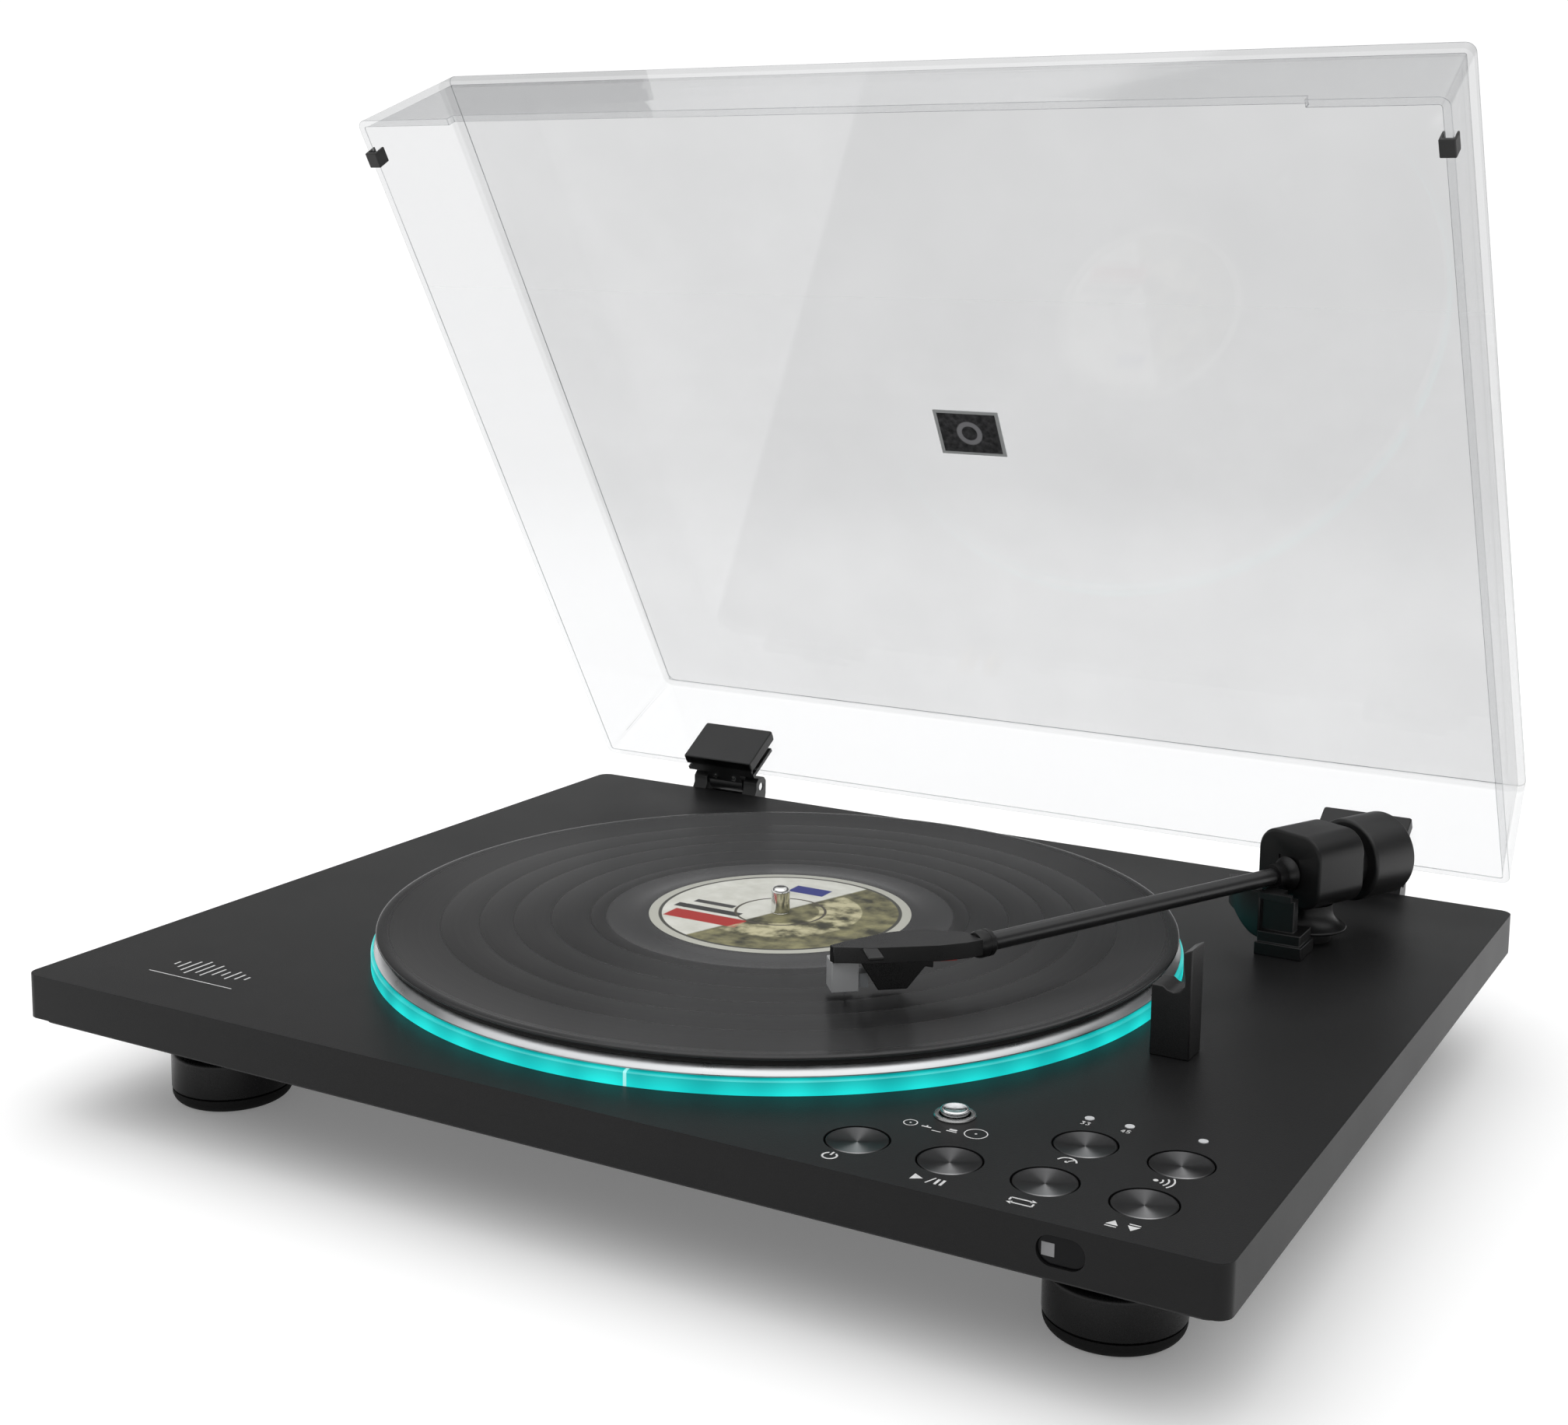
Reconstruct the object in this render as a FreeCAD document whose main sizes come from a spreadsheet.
import FreeCAD, Part
import Sketcher
import math
import os

# Record player with an open clear cover, a belt-driven platter and a straight tonearm.
# Millimetres. +X is right, +Y is back, +Z is up, and the floor is Z = 0.
# X = 0 is the middle of the plinth. Y = 0 is halfway from the plinth's front to the cover's rearmost edge.

doc = FreeCAD.newDocument("record_player")
sheet = doc.addObject("Spreadsheet::Sheet", "Sizes")

DRIVING = {
    # plinth and what stands under it
    "plinth_width": 450.0, "plinth_depth": 360.0, "plinth_thick": 16.0, "plinth_skin": 5.0,
    "plinth_corner": 5.0, "plinth_top": 52.0, "well_radius": 130.0,
    "tray_inset": 3.5, "tray_thick": 2.5, "pan_depth": 15.5, "pan_wall": 2.0,
    "foot_radius": 21.8, "foot_inset": 50.0, "pad_radius": 19.5, "pad_thick": 5.0,
    # platter and record
    "record_radius": 150.8, "record_thick": 1.4, "label_radius": 50.0, "label_thick": 0.15,
    "platter_radius": 151.5, "platter_thick": 2.8, "mat_radius": 146.0, "mat_thick": 1.4,
    "ring_radius": 152.6, "ring_width": 6.0, "ring_height": 5.6,
    "spindle_radius": 3.6, "spindle_pin_radius": 3.55, "spindle_neck_radius": 3.1, "bush_radius": 3.64,
    "hub_radius": 3.61, "drive_radius": 60.0, "pulley_radius": 7.5,
    "belt_thick": 0.7, "belt_gap": 0.35, "belt_height": 4.0,
    # tonearm
    "tube_radius": 3.2, "tube_bore": 2.5, "tube_length": 180.0, "tube_level": 28.0,
    "house_length": 26.0, "house_width": 31.0, "house_height": 29.0, "house_floor": 15.0,
    "weight_radius": 16.3, "weight_length": 23.0, "stub_radius": 5.0,
    "rest_width": 13.7, "rest_depth": 11.5, "rest_height": 37.8,
    # controls
    "button_radius": 9.6, "button_hole": 10.1, "button_thick": 2.6, "size_radius": 4.5,
    # cover and hinges
    "cover_width": 446.0, "cover_depth": 351.5, "cover_height": 57.0, "cover_wall": 3.0,
    "cover_side_draft": 4.7, "cover_front_draft": 8.2, "cover_rear_draft": 0.9, "cover_corner": 4.0,
    "cover_open_angle": 59.0, "hinge_width": 35.8, "hinge_pin_radius": 2.0,
}
for row, (alias, number) in enumerate(DRIVING.items(), start=1):
    sheet.set(f"A{row}", alias)
    sheet.set(f"B{row}", str(number))
    sheet.setAlias(f"B{row}", alias)
doc.recompute()
D = DRIVING

# Positions. Plinth positions are counted from the plinth's front-left top corner.
RECORD_AT = (214.0, 171.0)
PIVOT_AT = (387.0, 283.1)
ARM_ANGLE = 245.2
CARTRIDGE_ANGLE = -25.0
MOTOR_AT = (128.0, 196.0)
HINGE_AXIS = (367.5, 3.0)
HINGE_LEFT_EDGES = (52.3, 367.5)
COVER_REST = (2.0, 357.7, 1.87)
MAIN_BUTTONS = {
    "power": (327.5, 22.5), "start": (357.6, 23.2), "repeat": (387.3, 24.0),
    "cue": (416.9, 24.8), "speed": (387.3, 54.0), "pairing": (417.0, 54.8),
}
SIZE_BUTTON_AT = (344.7, 53.6)
LAMPS_AT = ((381.2, 72.4), (394.1, 72.8), (417.1, 73.6))
WINDOW_AT = (402.3, -7.9)

X_AXIS = FreeCAD.Vector(1, 0, 0)
Y_AXIS = FreeCAD.Vector(0, 1, 0)
Z_AXIS = FreeCAD.Vector(0, 0, 1)


def cover_rear_reach():
    """How far behind the plinth's front the open cover's rear edge reaches."""
    turn = math.radians(D["cover_open_angle"])
    back = COVER_REST[1] - D["cover_rear_draft"] - HINGE_AXIS[0]
    up = COVER_REST[2] + D["cover_height"] - HINGE_AXIS[1]
    return HINGE_AXIS[0] + back * math.cos(turn) + up * math.sin(turn)


Y_MIDDLE = cover_rear_reach() / 2.0


def at(x, y, z=0.0):
    """A point given from the plinth's front-left top corner, in the object's frame."""
    return FreeCAD.Vector(x - D["plinth_width"] / 2.0, y - Y_MIDDLE, z + D["plinth_top"])


FLAT = FreeCAD.Rotation()
ALONG_Y = FreeCAD.Rotation(X_AXIS, -90)
ALONG_X = FreeCAD.Rotation(Y_AXIS, 90)
ARM = FreeCAD.Placement(at(PIVOT_AT[0], PIVOT_AT[1]), FreeCAD.Rotation(Z_AXIS, ARM_ANGLE))
CARTRIDGE = ARM.multiply(FreeCAD.Placement(FreeCAD.Vector(), FreeCAD.Rotation(Z_AXIS, CARTRIDGE_ANGLE)))
HINGE_POINT = at(0, *HINGE_AXIS)
COVER_TURN = FreeCAD.Placement(
    FreeCAD.Vector(), FreeCAD.Rotation(X_AXIS, -D["cover_open_angle"]), HINGE_POINT)

NODES = []


def node(item, label):
    """Keep this object as a sub-part that is written to a file of its own."""
    item.Label = label
    NODES.append(item)
    return item


def bind(item, prop, value):
    """Give a property a number, or bind it to the sheet when the value is text."""
    if isinstance(value, str):
        item.setExpression(prop, value)
    else:
        setattr(item, prop, value)


def place(item, base, rotation=FLAT, within=None):
    """Put an object at a point, or at a point of another placement such as the arm's."""
    item.Placement = FreeCAD.Placement(base, rotation)
    if within is not None:
        item.Placement = within.multiply(item.Placement)
    return item


def box(name, length, width, height, base, rotation=FLAT, within=None):
    """A box centred on its base point in X and Y that stands on it in Z."""
    item = doc.addObject("Part::Box", name)
    bind(item, "Length", length)
    bind(item, "Width", width)
    bind(item, "Height", height)
    doc.recompute([item])
    half = FreeCAD.Vector(-item.Length.Value / 2.0, -item.Width.Value / 2.0, 0)
    return place(item, base + rotation.multVec(half), rotation, within)


def rod(name, radius, length, base, rotation=FLAT, within=None):
    """A cylinder from its base point along the rotated Z axis."""
    item = doc.addObject("Part::Cylinder", name)
    bind(item, "Radius", radius)
    bind(item, "Height", length)
    return place(item, base, rotation, within)


def cut(name, base, tools):
    """The base with each tool taken away."""
    item = base
    for number, tool in enumerate(tools):
        step = doc.addObject("Part::Cut", f"{name}_{number}")
        step.Base = item
        step.Tool = tool
        item = step
    return item


def join(name, parts):
    """One solid made of touching or overlapping parts."""
    item = doc.addObject("Part::MultiFuse", name)
    item.Shapes = parts
    item.Refine = True
    return item


def group(name, parts):
    """Separate solids kept as one sub-part, such as a set of screws."""
    item = doc.addObject("Part::Compound", name)
    item.Links = parts
    return item


def new_body(name):
    return doc.addObject("PartDesign::Body", name)


def new_sketch(body, name, plane="XY_Plane", lift=0.0):
    """A sketch on one of the body's own origin planes, moved along the plane's normal."""
    sketch = body.newObject("Sketcher::SketchObject", name)
    support = next(p for p in body.Origin.OriginFeatures if p.Role == plane)
    sketch.AttachmentSupport = [(support, "")]
    sketch.MapMode = "FlatFace"
    if isinstance(lift, str):
        sketch.setExpression("AttachmentOffset.Base.z", lift)
    else:
        sketch.AttachmentOffset = FreeCAD.Placement(FreeCAD.Vector(0, 0, lift), FLAT)
    return sketch


def polygon(sketch, points):
    """A closed outline of straight lines."""
    corners = [FreeCAD.Vector(x, y, 0) for x, y in points]
    for start, end in zip(corners, corners[1:] + corners[:1]):
        sketch.addGeometry(Part.LineSegment(start, end), False)


def rounded_rectangle(sketch, width, depth, radius, centre=(0.0, 0.0)):
    """A fully constrained rounded rectangle; text sizes are bound to the sheet."""
    numbers = [sheet_value(v) for v in (width, depth, radius)]
    half_w, half_d, r = numbers[0] / 2.0, numbers[1] / 2.0, numbers[2]
    cx, cy = centre
    corners = ((cx + half_w - r, cy + half_d - r), (cx - half_w + r, cy + half_d - r),
               (cx - half_w + r, cy - half_d + r), (cx + half_w - r, cy - half_d + r))
    for quarter, (x, y) in enumerate(corners):
        circle = Part.Circle(FreeCAD.Vector(x, y, 0), Z_AXIS, r)
        start = quarter * math.pi / 2.0
        sketch.addGeometry(Part.ArcOfCircle(circle, start, start + math.pi / 2.0), False)
    for quarter in range(4):
        first = sketch.getPoint(quarter, 2)
        second = sketch.getPoint((quarter + 1) % 4, 1)
        sketch.addGeometry(Part.LineSegment(first, second), False)
    for quarter in range(4):
        side = 4 + quarter
        following = (quarter + 1) % 4
        sketch.addConstraint(Sketcher.Constraint("Tangent", quarter, 2, side, 1))
        sketch.addConstraint(Sketcher.Constraint("Tangent", side, 2, following, 1))
        if quarter:
            sketch.addConstraint(Sketcher.Constraint("Equal", 0, quarter))
    sketch.addConstraint(Sketcher.Constraint("Horizontal", 4))
    sketch.addConstraint(Sketcher.Constraint("Vertical", 5))
    named = (("radius", Sketcher.Constraint("Radius", 0, r), radius),
             ("width", Sketcher.Constraint("DistanceX", 1, 3, 0, 3, numbers[0] - 2 * r), width),
             ("depth", Sketcher.Constraint("DistanceY", 2, 3, 1, 3, numbers[1] - 2 * r), depth),
             ("centre_x", Sketcher.Constraint("DistanceX", -1, 1, 0, 3, cx + half_w - r), None),
             ("centre_y", Sketcher.Constraint("DistanceY", -1, 1, 0, 3, cy + half_d - r), None))
    for name, constraint, _ in named:
        sketch.renameConstraint(sketch.addConstraint(constraint), name)
    if isinstance(width, str) and isinstance(depth, str) and isinstance(radius, str):
        sketch.setExpression("Constraints.radius", radius)
        sketch.setExpression("Constraints.width", f"{width} - 2 * ({radius})")
        sketch.setExpression("Constraints.depth", f"{depth} - 2 * ({radius})")
        sketch.setExpression("Constraints.centre_x", f"{cx} + ({width}) / 2 - ({radius})")
        sketch.setExpression("Constraints.centre_y", f"{cy} + ({depth}) / 2 - ({radius})")


def sheet_value(value):
    """The number behind a size given as a number or as an expression of the sheet."""
    if not isinstance(value, str):
        return value
    probe = sheet.evalExpression(value)
    return getattr(probe, "Value", probe)


def circles(sketch, radius, centres):
    """Circles of one radius; a text radius is bound to the sheet."""
    for index, (x, y) in enumerate(centres):
        number = sketch.addGeometry(Part.Circle(FreeCAD.Vector(x, y, 0), Z_AXIS, sheet_value(radius)))
        sketch.addConstraint(Sketcher.Constraint("DistanceX", -1, 1, number, 3, x))
        sketch.addConstraint(Sketcher.Constraint("DistanceY", -1, 1, number, 3, y))
        constraint = sketch.addConstraint(Sketcher.Constraint("Radius", number, sheet_value(radius)))
        if isinstance(radius, str):
            sketch.renameConstraint(constraint, f"radius_{index}")
            sketch.setExpression(f"Constraints.radius_{index}", radius)


def pad(body, sketch, length, reverse=False):
    feature = body.newObject("PartDesign::Pad", f"{body.Name}_pad_{len(body.Group)}")
    feature.Profile = sketch
    bind(feature, "Length", length)
    feature.Reversed = reverse
    return feature


def pocket(body, sketch, length, reverse=False):
    """A pocket, which must take material away."""
    doc.recompute()
    before = body.Shape.Volume
    feature = body.newObject("PartDesign::Pocket", f"{body.Name}_pocket_{len(body.Group)}")
    feature.Profile = sketch
    bind(feature, "Length", length)
    feature.Reversed = reverse
    doc.recompute()
    if not body.Shape.Volume < before - 0.01:
        raise RuntimeError(f"{feature.Name} removes nothing")
    return feature


def revolved(name, profile):
    """A body turned about its own Z axis from an outline of (radius, height) points."""
    body = new_body(name)
    sketch = new_sketch(body, f"{name}_profile", "XZ_Plane")
    polygon(sketch, profile)
    turn = body.newObject("PartDesign::Revolution", f"{name}_turn")
    turn.Profile = sketch
    turn.ReferenceAxis = (sketch, ["V_Axis"])
    turn.Angle = 360
    return body


def block_body(name, points, thickness, plane="XY_Plane", lift=0.0, reverse=False):
    """A body padded from a closed outline."""
    body = new_body(name)
    sketch = new_sketch(body, f"{name}_outline", plane, lift)
    polygon(sketch, points)
    pad(body, sketch, thickness, reverse)
    return body


# Plinth: a thin-topped panel, open underneath, with holes for the drive, the controls and the arm.
plinth = node(new_body("plinth"), "plinth")
outline = new_sketch(plinth, "plinth_outline", lift=-D["plinth_thick"])
rounded_rectangle(outline, "Sizes.plinth_width", "Sizes.plinth_depth", "Sizes.plinth_corner")
pad(plinth, outline, "Sizes.plinth_thick")
hollow = new_sketch(plinth, "plinth_hollow", lift=-D["plinth_thick"])
rounded_rectangle(hollow, "Sizes.plinth_width - 30", "Sizes.plinth_depth - 30", "Sizes.plinth_corner + 3")
pocket(plinth, hollow, "Sizes.plinth_thick - Sizes.plinth_skin", reverse=True)


def from_middle(x, y):
    """A plinth position counted from the plinth's middle, as its sketches use."""
    return (x - D["plinth_width"] / 2.0, y - D["plinth_depth"] / 2.0)


THROUGH = 2 * D["plinth_skin"]
for title, radius, places in (
        ("well", "Sizes.well_radius", [RECORD_AT]),
        ("button_holes", "Sizes.button_hole", list(MAIN_BUTTONS.values())),
        ("size_hole", 5.2, [SIZE_BUTTON_AT]),
        ("lamp_holes", 1.55, list(LAMPS_AT)),
        ("arm_hole", 7.0, [PIVOT_AT])):
    sketch = new_sketch(plinth, f"plinth_{title}", lift=5.0)
    circles(sketch, radius, [from_middle(*spot) for spot in places])
    pocket(plinth, sketch, THROUGH)
window = new_sketch(plinth, "plinth_window", "XZ_Plane", lift=D["plinth_depth"] / 2.0 + 1.0)
window_x = WINDOW_AT[0] - D["plinth_width"] / 2.0
rounded_rectangle(window, 14.6, 9.0, 4.4, (window_x, WINDOW_AT[1]))
pocket(plinth, window, 20.0)
place(plinth, at(D["plinth_width"] / 2.0, D["plinth_depth"] / 2.0))

# Bottom tray with a deeper pan for the motor and the bearing.
TRAY_TOP = -D["plinth_thick"]
PAN_LOW = TRAY_TOP - D["tray_thick"] - D["pan_depth"]
PAN = (72.0, 66.0, 352.0, 292.0)
tray = node(new_body("bottom_tray"), "bottom_tray")
sketch = new_sketch(tray, "tray_outline", lift=TRAY_TOP - D["tray_thick"])
rounded_rectangle(sketch, "Sizes.plinth_width - 2 * Sizes.tray_inset",
                  "Sizes.plinth_depth - 2 * Sizes.tray_inset", "Sizes.plinth_corner")
pad(tray, sketch, "Sizes.tray_thick")
pan_middle = from_middle((PAN[0] + PAN[2]) / 2.0, (PAN[1] + PAN[3]) / 2.0)
pan_width = PAN[2] - PAN[0]
pan_depth = PAN[3] - PAN[1]
sketch = new_sketch(tray, "pan_outline", lift=PAN_LOW)
rounded_rectangle(sketch, pan_width, pan_depth, 12.0, pan_middle)
pad(tray, sketch, "Sizes.pan_depth + 0.5")
sketch = new_sketch(tray, "pan_inside", lift=PAN_LOW + D["pan_wall"])
wall = 2 * D["pan_wall"]
rounded_rectangle(sketch, pan_width - wall, pan_depth - wall, 10.0, pan_middle)
pocket(tray, sketch, 30.0, reverse=True)
place(tray, at(D["plinth_width"] / 2.0, D["plinth_depth"] / 2.0))

screws = []
for x in (20.0, 225.0, 430.0):
    for y in (18.0, 180.0, 342.0):
        if (x, y) == (225.0, 180.0):
            continue
        head = rod(f"tray_screw_{len(screws)}", 3.0, 1.6, at(x, y, TRAY_TOP - D["tray_thick"] - 1.6))
        screws.append(head)

# Feet: a necked plastic body on a rubber pad.
FOOT_TOP = TRAY_TOP - D["tray_thick"]
FOOT_LOW = -D["plinth_top"]
FOOT_SPOTS = {
    "front_left": (D["foot_inset"], D["foot_inset"]),
    "front_right": (D["plinth_width"] - D["foot_inset"], D["foot_inset"]),
    "rear_left": (D["foot_inset"], D["plinth_depth"] - D["foot_inset"]),
    "rear_right": (D["plinth_width"] - D["foot_inset"], D["plinth_depth"] - D["foot_inset"]),
}
feet = []
foot_pads = []
for corner, (x, y) in FOOT_SPOTS.items():
    r = D["foot_radius"]
    low = FOOT_LOW + D["pad_thick"]
    profile = [(0, low), (r - 2.0, low), (r, low + 3.0), (r, FOOT_TOP - 9.0), (r - 1.6, FOOT_TOP - 8.2),
               (r - 1.6, FOOT_TOP - 6.4), (r - 0.4, FOOT_TOP - 5.6), (r - 2.2, FOOT_TOP - 2.0),
               (r - 5.0, FOOT_TOP), (0, FOOT_TOP)]
    feet.append(place(revolved(f"foot_{corner}", profile), at(x, y)))
    foot_pads.append(rod(f"foot_pad_{corner}", "Sizes.pad_radius", "Sizes.pad_thick", at(x, y, FOOT_LOW)))
node(group("feet", feet), "feet")
node(group("foot_pads", foot_pads), "foot_pads")

# Drive: a steel plate under the plinth's top carries the bearing and the motor.
PLATE_TOP = -D["plinth_skin"]
PLATE_THICK = 1.6
RX, RY = RECORD_AT
MX, MY = MOTOR_AT
plate = new_body("chassis_plate")
sketch = new_sketch(plate, "chassis_outline")
rounded_rectangle(sketch, 250.0, 250.0, 10.0)
pad(plate, sketch, PLATE_THICK)
for title, radius, spot in (("bearing", 8.1, (0.0, 0.0)), ("motor", 5.0, (MX - RX, MY - RY))):
    sketch = new_sketch(plate, f"chassis_{title}_hole", lift=PLATE_THICK + 1.0)
    circles(sketch, radius, [spot])
    pocket(plate, sketch, 2 * PLATE_THICK + 2.0)
place(node(plate, "chassis_plate"), at(RX, RY, PLATE_TOP - PLATE_THICK))

PLATE_LOW = PLATE_TOP - PLATE_THICK
bearing_profile = [(0, -29.5), (8.0, -29.5), (8.0, PLATE_TOP), (18.0, PLATE_TOP),
                   (18.0, PLATE_TOP + 1.5), (0, PLATE_TOP + 1.5)]
bearing_bore = rod("bearing_bore", "Sizes.bush_radius", 26.0, at(RX, RY, -27.5))
bearing_solid = place(revolved("bearing_body", bearing_profile), at(RX, RY))
node(cut("bearing_housing", bearing_solid, [bearing_bore]), "bearing_housing")
thrust_ball = doc.addObject("Part::Sphere", "thrust_ball")
thrust_ball.Radius = 2.0
place(node(thrust_ball, "thrust_ball"), at(RX, RY, -25.5))

motor_case = rod("motor_case", 14.0, 19.0, at(MX, MY, PLATE_LOW - 19.0))
motor_boss = rod("motor_boss", 4.0, 2.0, at(MX, MY, PLATE_LOW))
motor_bore = rod("motor_bore", 1.05, 24.0, at(MX, MY, PLATE_LOW - 17.0))
node(cut("motor", join("motor_solid", [motor_case, motor_boss]), [motor_bore]), "motor")
for turn in (30.0, 210.0):
    shift = FreeCAD.Vector(9.0, 0, 0)
    spot = at(MX, MY, PLATE_TOP) + FreeCAD.Rotation(Z_AXIS, turn).multVec(shift)
    screws.append(rod(f"motor_screw_{len(screws)}", 2.2, 1.4, spot))
node(group("chassis_screws", screws), "chassis_screws")
motor_shaft = rod("motor_shaft", 1.0, 18.0, at(MX, MY, -16.0))
wheel = place(revolved("pulley_wheel", [(0, -2.6), (8.6, -2.6), (8.6, -1.4), (7.5, -1.0), (7.5, 3.4),
                                        (8.6, 3.8), (8.6, 4.6), (0, 4.6)]), at(MX, MY))
node(join("motor_pulley", [motor_shaft, wheel]), "motor_pulley")

drive = D["drive_radius"]
hub = D["hub_radius"]
PLATTER_LOW = 6.4
drive_profile = [(hub, -3.0), (12.0, -3.0), (12.0, 3.4), (drive - 4.0, 3.4), (drive - 4.0, -1.6),
                 (drive, -1.6), (drive, 4.4), (drive + 0.8, 4.8), (drive + 0.8, PLATTER_LOW),
                 (hub, PLATTER_LOW)]
place(node(revolved("drive_wheel", drive_profile), "drive_wheel"), at(RX, RY))


def belt_outline(extra):
    """A face round both pulleys: two circles joined by a block between their tangents."""
    gap = D["belt_gap"] + extra
    start = at(RX, RY, -0.8)
    end = at(MX, MY, -0.8)
    big = D["drive_radius"] + gap
    small = D["pulley_radius"] + gap
    span = end - start
    lean = math.acos((big - small) / span.Length)
    ahead = math.atan2(span.y, span.x)
    points = []
    for centre, radius, side in ((start, big, 1), (end, small, 1), (end, small, -1), (start, big, -1)):
        angle = ahead + side * lean
        points.append(centre + FreeCAD.Vector(radius * math.cos(angle), radius * math.sin(angle), 0))
    web = Part.Face(Part.makePolygon(points + points[:1]))
    discs = [Part.Face(Part.Wire(Part.makeCircle(radius, centre))) for centre, radius in
             ((start, big), (end, small))]
    return web.fuse(discs).removeSplitter().extrude(FreeCAD.Vector(0, 0, D["belt_height"]))


belt = doc.addObject("Part::Feature", "drive_belt")
belt.Shape = belt_outline(D["belt_thick"]).cut(belt_outline(0.0))
node(belt, "drive_belt")

# The spindle is a shaft, a short neck inside the record's hole, and a slightly thinner pin above the label.
SHAFT_LOW = -23.4
NECK_LOW = 11.15
PIN_LOW = 12.15
PIN_TOP = 19.2
shaft = rod("spindle_shaft", "Sizes.spindle_radius", NECK_LOW - SHAFT_LOW, at(RX, RY, SHAFT_LOW))
pin = D["spindle_pin_radius"]
neck = D["spindle_neck_radius"]
nose = [(0, NECK_LOW - 1.0), (neck, NECK_LOW - 1.0), (neck, PIN_LOW), (pin, PIN_LOW), (pin, PIN_TOP),
        (pin - 0.5, PIN_TOP + 1.4), (pin - 1.5, PIN_TOP + 2.4), (pin - 2.6, PIN_TOP + 2.8), (0, PIN_TOP + 2.8)]
node(join("spindle", [shaft, place(revolved("spindle_nose", nose), at(RX, RY))]), "spindle")

platter_top = PLATTER_LOW + D["platter_thick"]
rim = D["platter_radius"]
platter_profile = [(hub, PLATTER_LOW), (rim, PLATTER_LOW), (rim, PLATTER_LOW + 0.5), (rim - 2.6, platter_top),
                   (hub, platter_top)]
place(node(revolved("platter", platter_profile), "platter"), at(RX, RY))


def washer(name, outer, thick, low):
    """A flat ring that fits round the spindle."""
    body = new_body(name)
    sketch = new_sketch(body, f"{name}_outline")
    circles(sketch, outer, [(0.0, 0.0)])
    circles_inner(sketch, "Sizes.spindle_radius + 0.02")
    pad(body, sketch, thick)
    return place(node(body, name), at(RX, RY, low))


def circles_inner(sketch, radius):
    """A second circle round the sketch's origin, for a hole."""
    number = sketch.addGeometry(Part.Circle(FreeCAD.Vector(), Z_AXIS, sheet_value(radius)))
    sketch.addConstraint(Sketcher.Constraint("Coincident", number, 3, -1, 1))
    constraint = sketch.addConstraint(Sketcher.Constraint("Radius", number, sheet_value(radius)))
    sketch.renameConstraint(constraint, "hole")
    if isinstance(radius, str):
        sketch.setExpression("Constraints.hole", radius)


mat_top = platter_top + D["mat_thick"]
record_top = mat_top + D["record_thick"]
washer("platter_mat", "Sizes.mat_radius", "Sizes.mat_thick", platter_top)
washer("record", "Sizes.record_radius", "Sizes.record_thick", mat_top)
washer("record_label", "Sizes.label_radius", "Sizes.label_thick", record_top)

# Light ring round the platter, fed by a strip of lamps inside it.
ring_body = new_body("light_ring")
sketch = new_sketch(ring_body, "ring_outline")
circles(sketch, "Sizes.ring_radius", [(0.0, 0.0)])
circles_inner(sketch, "Sizes.ring_radius - Sizes.ring_width")
pad(ring_body, sketch, "Sizes.ring_height")
place(node(ring_body, "light_ring"), at(RX, RY))
strip_body = new_body("lamp_strip")
sketch = new_sketch(strip_body, "strip_outline")
strip_out = D["ring_radius"] - D["ring_width"] - 0.05
circles(sketch, strip_out, [(0.0, 0.0)])
circles_inner(sketch, strip_out - 0.8)
pad(strip_body, sketch, 4.6)
place(node(strip_body, "lamp_strip"), at(RX, RY))

# Tonearm base: a pedestal with a flange and a sleeve, and beside it the stepped block of the arm lifter.
base_profile = [(0, 0), (12.6, 0), (12.0, 5.0), (14.6, 5.2), (14.6, 6.4), (9.6, 8.0), (9.0, 14.6), (0, 14.6)]
base_body = place(revolved("arm_base_body", base_profile), at(*PIVOT_AT))
base_neck = rod("arm_base_neck", 6.8, 12.0, at(*PIVOT_AT, -12.0))
base_bore = rod("arm_base_bore", 3.05, 24.0, at(*PIVOT_AT, -9.0))
node(cut("arm_base", join("arm_base_solid", [base_body, base_neck]), [base_bore]), "arm_base")

LIFT_AT = (381.0, 259.2)
block_low = box("lifter_block_low", 18.2, 17.0, 5.0, at(384.2, 260.6))
block_step = box("lifter_block_step", 16.6, 15.0, 4.0, at(384.0, 261.0, 5.0))
block_wall = box("lifter_block_wall", 15.2, 5.7, 12.2, at(381.2, 259.3, 9.0))
lift_bore = rod("lifter_bore", 1.66, 22.0, at(*LIFT_AT, 1.0))
base_clear = rod("lifter_base_clear", 13.4, 9.2, at(*PIVOT_AT))
node(cut("lifter_block", join("lifter_block_solid", [block_low, block_step, block_wall]),
         [lift_bore, base_clear]), "lifter_block")

TUBE = D["tube_level"]
RAIL_INNER = 28.0
RAIL_OUTER = 31.0
RAIL_TOP = TUBE - D["tube_radius"] - 0.45
rail_body = new_body("lift_rail_body")
sketch = new_sketch(rail_body, "lift_rail_outline", lift=21.6)
rail_from = math.radians(203.0)
rail_to = math.radians(273.0)
for number, radius in enumerate((RAIL_INNER, RAIL_OUTER)):
    whole = Part.Circle(FreeCAD.Vector(), Z_AXIS, radius)
    sketch.addGeometry(Part.ArcOfCircle(whole, rail_from, rail_to), False)
for angle_index in (1, 2):
    inner_end = sketch.getPoint(0, angle_index)
    outer_end = sketch.getPoint(1, angle_index)
    sketch.addGeometry(Part.LineSegment(inner_end, outer_end), False)
pad(rail_body, sketch, RAIL_TOP - 21.6)
place(rail_body, at(*PIVOT_AT))
wing_body = new_body("lift_wing_body")
sketch = new_sketch(wing_body, "lift_wing_outline", lift=13.0)
wing_to = math.radians(236.0)
for radius in (RAIL_INNER, RAIL_OUTER):
    whole = Part.Circle(FreeCAD.Vector(), Z_AXIS, radius)
    sketch.addGeometry(Part.ArcOfCircle(whole, rail_from, wing_to), False)
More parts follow.
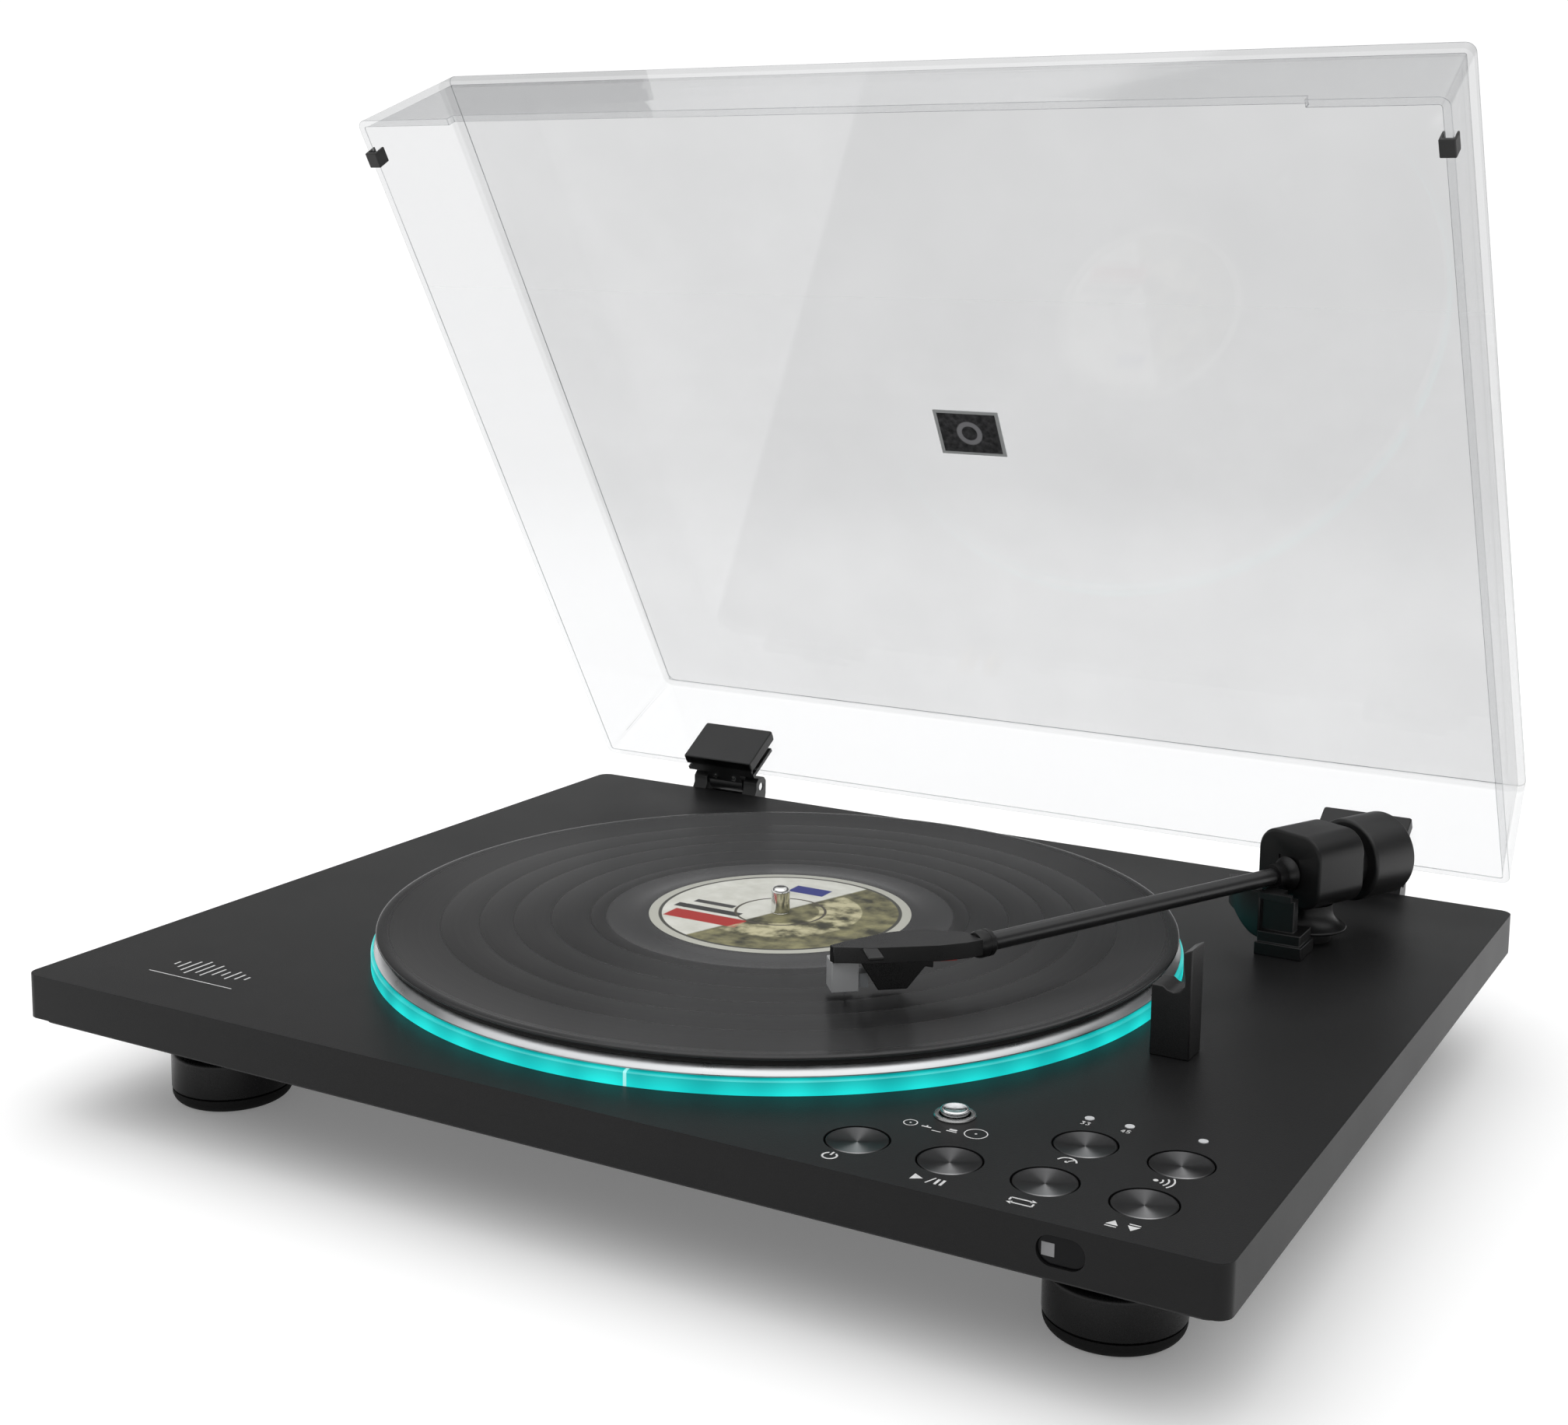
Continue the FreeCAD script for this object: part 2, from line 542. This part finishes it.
for angle_index in (1, 2):
    inner_end = sketch.getPoint(0, angle_index)
    outer_end = sketch.getPoint(1, angle_index)
    sketch.addGeometry(Part.LineSegment(inner_end, outer_end), False)
pad(wing_body, sketch, RAIL_TOP - 13.0)
place(wing_body, at(*PIVOT_AT))
lift_tab = box("lift_tab", 8.0, 8.6, RAIL_TOP - 22.0, at(380.8, 256.6, 22.0))
lift_rod = rod("lift_rod", 1.6, 20.0, at(*LIFT_AT, 2.6))
node(join("cue_lifter", [rail_body, wing_body, lift_tab, lift_rod]), "cue_lifter")

# Arm housing: a hollow rounded box that swings on a steel post.
HOUSE_MIDDLE = D["house_floor"] + D["house_height"] / 2.0


def housing_shell(name, length, width, height, radius):
    """A rounded box along the arm, centred on the pivot."""
    body = new_body(name)
    sketch = new_sketch(body, f"{name}_outline", "YZ_Plane", lift=-sheet_value(length) / 2.0)
    rounded_rectangle(sketch, width, height, radius, (0.0, HOUSE_MIDDLE))
    return body, pad(body, sketch, length)


shell_outer, shell_pad = housing_shell("house_outer", "Sizes.house_length", "Sizes.house_width",
                            "Sizes.house_height", "Sizes.house_floor - 6")
doc.recompute()
front_back = [f"Edge{n}" for n, e in enumerate(shell_pad.Shape.Edges, start=1) if e.BoundBox.XLength < 0.01]
shell_round = shell_outer.newObject("PartDesign::Fillet", "house_soft_edges")
shell_round.Base = (shell_pad, front_back)
shell_round.Radius = 1.2
shell_inner, _ = housing_shell("house_inner", "Sizes.house_length - 4", "Sizes.house_width - 4",
                            "Sizes.house_height - 4", "Sizes.house_floor - 8")
front_slot = box("house_front_slot", 8.0, 10.2, 11.6, FreeCAD.Vector(12.0, 0, 22.8))
rear_slot = box("house_rear_slot", 8.0, 13.0, 15.0, FreeCAD.Vector(-12.0, 0, 20.0))
pin_bore = rod("house_pin_bore", 1.56, 29.0, FreeCAD.Vector(0, -14.5, TUBE), ALONG_Y)
housing = cut("arm_housing", shell_outer, [shell_inner, front_slot, rear_slot, pin_bore])
place(node(housing, "arm_housing"), ARM.Base, ARM.Rotation)
arm_post = rod("arm_post", 3.0, 22.4, FreeCAD.Vector(0, 0, -7.4), within=ARM)
node(arm_post, "arm_post")

# Tonearm: everything that tilts on the cross pin.
TUBE_END = 170.0
tube_start = FreeCAD.Vector(TUBE_END - D["tube_length"], 0, TUBE)
tube_outer = rod("tube_outer", "Sizes.tube_radius", "Sizes.tube_length", tube_start,
                 ALONG_X, ARM)
tube_inner = rod("tube_inner", "Sizes.tube_bore", D["tube_length"] + 2.0,
                 FreeCAD.Vector(TUBE_END - D["tube_length"] - 1.0, 0, TUBE), ALONG_X, ARM)
node(cut("tonearm_tube", tube_outer, [tube_inner]), "tonearm_tube")
gimbal = box("gimbal_solid", 13.0, 13.0, 12.0, FreeCAD.Vector(0, 0, TUBE - 6.0), within=ARM)
gimbal_boss = rod("gimbal_boss", 4.6, 16.0, FreeCAD.Vector(6.0, 0, TUBE), ALONG_X, ARM)
gimbal_bore = rod("gimbal_bore", D["tube_radius"], 34.0, FreeCAD.Vector(-11.0, 0, TUBE), ALONG_X, ARM)
gimbal_cross = rod("gimbal_cross", 1.5, 14.0, FreeCAD.Vector(0, -7.0, TUBE), ALONG_Y, ARM)
node(cut("gimbal_block", join("gimbal_joined", [gimbal, gimbal_boss]), [gimbal_bore, gimbal_cross]),
     "gimbal_block")
pin_near = rod("tilt_pin_near", 1.5, 10.8, FreeCAD.Vector(0, 3.4, TUBE), ALONG_Y, ARM)
pin_far = rod("tilt_pin_far", 1.5, 10.8, FreeCAD.Vector(0, -14.2, TUBE), ALONG_Y, ARM)
node(group("tilt_pins", [pin_near, pin_far]), "tilt_pins")
STUB_END = -40.6
stub = rod("counterweight_stub", "Sizes.stub_radius", TUBE_END - D["tube_length"] - STUB_END,
           FreeCAD.Vector(STUB_END, 0, TUBE), ALONG_X, ARM)
node(stub, "counterweight_stub")

collar_profile = [(D["tube_radius"], 0), (3.9, 0), (4.7, 1.0), (4.7, 6.0), (4.2, 7.0), (D["tube_radius"], 7.0)]
collar_at = FreeCAD.Vector(163.4, 0, TUBE)
place(node(revolved("head_collar", collar_profile), "head_collar"), collar_at, ALONG_X, ARM)

HEAD_TOP = TUBE + 3.3
HEAD_OUTLINE = [(170.6, 4.6), (177.0, 4.2), (187.0, 1.2), (207.4, -9.4), (217.6, -17.2), (217.4, -19.6),
                (210.4, -20.3), (193.3, -20.0), (180.1, -16.2), (174.6, -9.6), (170.6, -5.6)]
head = block_body("head_solid", HEAD_OUTLINE, 5.6, lift=HEAD_TOP - 5.6)
head_clear = rod("head_tube_clear", D["tube_radius"] + 0.02, 3.0, FreeCAD.Vector(168.4, 0, TUBE), ALONG_X)
head_shell = cut("headshell", head, [head_clear])
place(node(head_shell, "headshell"), ARM.Base, ARM.Rotation)

HEAD_MIDDLE = 70.2
finger_at = FreeCAD.Vector(192.6, HEAD_MIDDLE + 13.4, HEAD_TOP - 1.3)
finger = box("finger_tab", 5.2, 10.4, 1.2, finger_at, within=CARTRIDGE)
node(cut("finger_lift", finger, [head_shell]), "finger_lift")

HEAD_LOW = HEAD_TOP - 5.6
cart_points = [(169.6, HEAD_LOW), (194.4, HEAD_LOW), (194.4, HEAD_LOW - 1.6), (188.6, 14.8), (178.6, 14.8),
               (172.4, HEAD_LOW - 3.4), (169.6, HEAD_LOW - 4.0)]
cart = block_body("cartridge_solid", cart_points, 9.2, "XZ_Plane", lift=-HEAD_MIDDLE - 4.6)
place(node(cart, "cartridge"), CARTRIDGE.Base, CARTRIDGE.Rotation)
guard_out = box("guard_out", 9.4, 9.4, 10.4, FreeCAD.Vector(200.0, HEAD_MIDDLE, 14.7), within=CARTRIDGE)
guard_in = box("guard_in", 9.4, 7.6, 9.4, FreeCAD.Vector(199.0, HEAD_MIDDLE, 14.6), within=CARTRIDGE)
node(cut("stylus_guard", guard_out, [guard_in]), "stylus_guard")
carrier = box("stylus_carrier", 3.2, 6.4, 5.0, FreeCAD.Vector(193.4, HEAD_MIDDLE, 15.6), within=CARTRIDGE)
TIP_ALONG = 199.2
TIP_LOW = record_top + 0.25
cantilever_dip = FreeCAD.Rotation(Y_AXIS, 90 + 22.0)
cantilever = rod("cantilever", 0.35, 6.0, FreeCAD.Vector(193.6, HEAD_MIDDLE, 15.4), cantilever_dip, CARTRIDGE)
tip = doc.addObject("Part::Cone", "stylus_tip")
tip.Radius1 = 0.1
tip.Radius2 = 0.4
tip.Height = 1.3
place(tip, FreeCAD.Vector(TIP_ALONG, HEAD_MIDDLE, TIP_LOW), within=CARTRIDGE)
node(cut("stylus", join("stylus_solid", [carrier, cantilever, tip]), [cart]), "stylus")
leads = []
for side in (-3.0, -1.0, 1.0, 3.0):
    lead_at = FreeCAD.Vector(161.0, HEAD_MIDDLE + side, HEAD_LOW - 2.0)
    leads.append(rod(f"lead_{len(leads)}", 0.35, 8.6, lead_at,
                     ALONG_X, CARTRIDGE))
node(group("cartridge_leads", leads), "cartridge_leads")

weight_profile = [(D["stub_radius"] + 0.05, 15.4), (11.4, 15.4), (11.4, 20.0), (15.3, 20.0),
                  (D["weight_radius"], 21.0), (D["weight_radius"], 42.0), (15.3, 43.0),
                  (D["stub_radius"] + 0.05, 43.0)]
ALONG_BACK = FreeCAD.Rotation(Y_AXIS, -90)
weight_at = FreeCAD.Vector(0, 0, TUBE)
place(node(revolved("counterweight", weight_profile), "counterweight"), weight_at, ALONG_BACK, ARM)

# Arm rest: a post with a cradle that is taller on its outer side.
rest_w = D["rest_width"]
rest_points = [(0, 0), (rest_w, 0), (rest_w, D["rest_height"]), (rest_w - 3.2, D["rest_height"] - 1.6),
               (rest_w - 2.2, 27.0), (rest_w - 2.4, 25.0), (rest_w - 4.2, 23.0), (rest_w - 6.2, 22.5),
               (rest_w - 8.2, 23.0), (rest_w - 9.8, 24.2), (0, 24.2)]
rest = block_body("arm_rest", rest_points, D["rest_depth"], "XZ_Plane")
place(node(rest, "arm_rest"), at(377.7, 132.8 + D["rest_depth"], 0))

# Controls: flush sprung buttons over small switches on a board, a latching size button, lamps and a window.
for title, spot in MAIN_BUTTONS.items():
    r = D["button_radius"]
    profile = [(0, -D["button_thick"]), (r, -D["button_thick"]), (r, -0.5), (r - 0.5, -0.1), (0, -0.7)]
    cap = place(revolved(f"cap_{title}", profile), at(*spot))
    stem = rod(f"stem_{title}", 1.8, 7.4, at(*spot, -D["button_thick"] - 7.0))
    node(join(f"button_{title}", [cap, stem]), f"button_{title}")
node(box("control_board", 118.0, 90.0, 1.6, at(372.0, 62.0, -15.2)), "control_board")
switches = [box(f"switch_{title}", 6.0, 6.0, 2.9, at(*spot, -13.6)) for title, spot in MAIN_BUTTONS.items()]
switches.append(box("switch_size", 9.0, 9.0, 3.4, at(*SIZE_BUTTON_AT, -13.6)))
node(group("tact_switches", switches), "tact_switches")

size_profile = [(0, 0.3), (D["size_radius"], 0.3), (D["size_radius"], 2.6), (D["size_radius"] - 0.7, 3.1),
                (0, 2.8)]
size_cap = place(revolved("size_cap", size_profile), at(*SIZE_BUTTON_AT))
size_stem = rod("size_stem", 2.0, 7.9, at(*SIZE_BUTTON_AT, -7.4))
node(join("size_button", [size_cap, size_stem]), "size_button")
collar_ring = rod("size_collar_ring", 6.6, 0.9, at(*SIZE_BUTTON_AT, 0.0))
collar_tube = rod("size_collar_tube", 5.1, 4.6, at(*SIZE_BUTTON_AT, -4.6))
collar_bore = rod("size_collar_bore", 4.85, 8.0, at(*SIZE_BUTTON_AT, -6.0))
node(cut("size_collar", join("size_collar_solid", [collar_ring, collar_tube]), [collar_bore]), "size_collar")

lamps = [rod(f"lamp_{n}", 1.5, 13.4, at(*spot, -13.2)) for n, spot in enumerate(LAMPS_AT)]
node(group("indicator_lamps", lamps), "indicator_lamps")
lens = new_body("window_lens")
sketch = new_sketch(lens, "lens_outline", "XZ_Plane")
rounded_rectangle(sketch, 14.2, 8.6, 4.2)
pad(lens, sketch, 1.6, reverse=True)
place(node(lens, "window_lens"), at(WINDOW_AT[0], 1.0, WINDOW_AT[1]))
node(box("remote_sensor", 4.2, 5.0, 4.0, at(398.6, 5.3, WINDOW_AT[1] - 2.0)), "remote_sensor")

# Main board, power inlet and phono sockets at the back.
board = box("main_board_plate", 90.0, 60.0, 1.6, at(70.0, 308.0, -14.6))
chips = [box(f"chip_{n}", 10.0, 10.0, 2.2, at(46.0 + 24.0 * n, 300.0, -13.0)) for n in range(3)]
node(join("main_board", [board] + chips), "main_board")
JACK_LEVEL = -8.0
REAR = D["plinth_depth"]
sockets = []
for title, x in (("rca_left", 150.0), ("rca_right", 164.0)):
    shell = rod(f"{title}_shell", 4.15, 9.4, at(x, REAR, JACK_LEVEL), ALONG_Y)
    jack_flange = rod(f"{title}_flange", 5.6, 1.2, at(x, REAR, JACK_LEVEL), ALONG_Y)
    throat = rod(f"{title}_throat", 1.65, 8.6, at(x, REAR + 1.4, JACK_LEVEL), ALONG_Y)
    sockets.append(cut(title, join(f"{title}_solid", [shell, jack_flange]), [throat]))
node(group("phono_sockets", sockets), "phono_sockets")
inlet_body = box("inlet_body", 12.0, 4.0, 12.0, at(190.0, REAR + 2.0, JACK_LEVEL - 6.0))
inlet_hole = rod("inlet_hole", 3.1, 6.0, at(190.0, REAR + 0.8, JACK_LEVEL), ALONG_Y)
inlet_pin = rod("inlet_pin", 1.0, 3.0, at(190.0, REAR + 0.4, JACK_LEVEL), ALONG_Y)
inlet_bored = cut("inlet_bored", inlet_body, [inlet_hole])
node(join("power_inlet", [inlet_bored, inlet_pin]), "power_inlet")

# Clear cover: a drafted shell, drawn closed about its rim's middle and then turned open on the hinges.


def cover_loft(body, kind, name, low, high, low_size, high_size, corner):
    """A loft between two rounded rectangles, each given by its width, depth and Y shift."""
    ends = []
    for tag, lift, (width, depth, shift) in (("low", low, low_size), ("high", high, high_size)):
        sketch = new_sketch(body, f"{name}_{tag}", lift=lift)
        rounded_rectangle(sketch, width, depth, corner, (0.0, shift))
        ends.append(sketch)
    loft = body.newObject(kind, name)
    loft.Profile = ends[0]
    loft.Sections = [ends[1]]
    loft.Ruled = True
    return loft


def cover_size(level, wall):
    """Width, depth and Y shift of the drafted box at a level above its rim."""
    share = level / D["cover_height"]
    width = D["cover_width"] - 2.0 * share * D["cover_side_draft"] - 2.0 * wall
    depth = D["cover_depth"] - share * (D["cover_front_draft"] + D["cover_rear_draft"]) - 2.0 * wall
    shift = share * (D["cover_front_draft"] - D["cover_rear_draft"]) / 2.0
    return (width, depth, shift)


cover_body = new_body("cover_shell")
wall = D["cover_wall"]
cover_loft(cover_body, "PartDesign::AdditiveLoft", "cover_outside", 0.0, D["cover_height"],
           cover_size(0.0, 0.0), cover_size(D["cover_height"], 0.0), D["cover_corner"])
ceiling = D["cover_height"] - wall
cover_loft(cover_body, "PartDesign::SubtractiveLoft", "cover_inside", 0.0, ceiling,
           cover_size(0.0, wall), cover_size(ceiling, wall), D["cover_corner"] - wall)
cover_middle = at(COVER_REST[0] + D["cover_width"] / 2.0, COVER_REST[1] - D["cover_depth"] / 2.0, COVER_REST[2])
place(cover_body, cover_middle)
finger_gap = box("finger_gap", 352.0, 12.0, 8.0,
                 at(225.0, COVER_REST[1] - D["cover_depth"], COVER_REST[2] - 4.0))
cover = cut("dust_cover", cover_body, [finger_gap])
cover.Placement = COVER_TURN.multiply(cover.Placement)
node(cover, "dust_cover")

bumpers = []
for title, edge, sense in (("left", COVER_REST[0], 1.0), ("right", COVER_REST[0] + D["cover_width"], -1.0)):
    spot_y = 23.7
    rim = COVER_REST[2]
    shoe = box(f"bumper_shoe_{title}", 5.6, 6.6, 6.4, at(edge + sense * 1.9, spot_y, 0.15), within=COVER_TURN)
    slot = box(f"bumper_slot_{title}", 3.7, 8.0, 8.0, at(edge + sense * 1.8, spot_y, rim), within=COVER_TURN)
    bumpers.append(cut(f"bumper_{title}", shoe, [slot]))
node(group("cover_bumpers", bumpers), "cover_bumpers")

badge_level = COVER_REST[2] + ceiling - 0.52
node(box("cover_badge", 30.6, 22.6, 0.5, at(219.3, COVER_REST[1] - 172.5, badge_level), within=COVER_TURN),
     "cover_badge")

# Hinges: a bracket behind the plinth, a pin, and a clip that holds the cover's rear wall.
PIN_Y, PIN_Z = HINGE_AXIS
EAR = 7.4
EAR_PROFILE = [(-7.3, -17.0), (-7.3, -5.5), (-4.6, -1.0), (-4.6, 2.2), (-2.5, 4.4), (2.5, 4.4), (4.4, 2.5),
               (4.4, -4.0), (1.0, -17.0)]
REAR_WALL = COVER_REST[1]
brackets = []
clips = []
pins = []
clip_screws = []
width = D["hinge_width"]
for side, left in zip(("left", "right"), HINGE_LEFT_EDGES):
    centre = left + width / 2.0
    ears = []
    for tag, ear_x in (("a", left), ("b", left + width - EAR)):
        ear = block_body(f"hinge_ear_{side}_{tag}", EAR_PROFILE, EAR, "YZ_Plane")
        ears.append(place(ear, at(ear_x, PIN_Y, PIN_Z)))
    back = box(f"hinge_back_{side}", width, 2.8, 11.8, at(centre, REAR + 1.6, -14.0))
    ear_bore = rod(f"hinge_ear_bore_{side}", "Sizes.hinge_pin_radius", width + 2.0,
                   at(left - 1.0, PIN_Y, PIN_Z), ALONG_X)
    bracket_solid = join(f"hinge_bracket_solid_{side}", ears + [back])
    brackets.append(cut(f"hinge_bracket_{side}", bracket_solid, [ear_bore]))
    pins.append(rod(f"hinge_pin_{side}", "Sizes.hinge_pin_radius", width - 0.8,
                    at(left + 0.4, PIN_Y, PIN_Z), ALONG_X))
    plate_in = box(f"clip_inside_{side}", 37.4, 3.4, 24.4, at(centre - 1.2, REAR_WALL - wall - 2.1, 0.4))
    plate_out = box(f"clip_outside_{side}", 37.4, 1.9, 20.0, at(centre - 1.2, REAR_WALL + 1.0, 0.4))
    plate_low = box(f"clip_foot_{side}", 34.0, 8.9, 1.45, at(centre, REAR_WALL - 2.55, 0.4))
    arm_body = box(f"clip_arm_{side}", 18.6, 9.4, 6.4, at(centre, PIN_Y - 4.7, 0.4))
    knuckle = rod(f"clip_knuckle_{side}", 4.1, 18.6, at(centre - 9.3, PIN_Y, PIN_Z), ALONG_X)
    knuckle_bore = rod(f"clip_bore_{side}", "Sizes.hinge_pin_radius + 0.05", 30.0,
                       at(centre - 15.0, PIN_Y, PIN_Z), ALONG_X)
    clip = cut(f"hinge_clip_{side}",
               join(f"hinge_clip_solid_{side}", [plate_in, plate_out, plate_low, arm_body, knuckle]),
               [knuckle_bore])
    clip.Placement = COVER_TURN
    clips.append(clip)
    for offset in (-5.3, 5.3):
        clip_screws.append(rod(f"clip_screw_{len(clip_screws)}", 1.3, 0.6, at(centre + offset, 361.9, -0.2),
                               within=COVER_TURN))
node(group("hinge_brackets", brackets), "hinge_brackets")
node(group("hinge_pins", pins), "hinge_pins")
node(group("hinge_clips", clips), "hinge_clips")
node(group("clip_screws", clip_screws), "clip_screws")

doc.recompute()
for item in doc.Objects:
    if "Invalid" in item.State or "Error" in item.State:
        raise RuntimeError(f"{item.Name} did not compute")
os.makedirs("parts", exist_ok=True)
for item in NODES:
    if item.Shape.isNull() or not item.Shape.isValid():
        raise RuntimeError(f"{item.Label} is not a valid shape")
    item.Shape.exportStep(f"parts/{item.Label}.step")
print(f"{len(NODES)} sub-parts written")
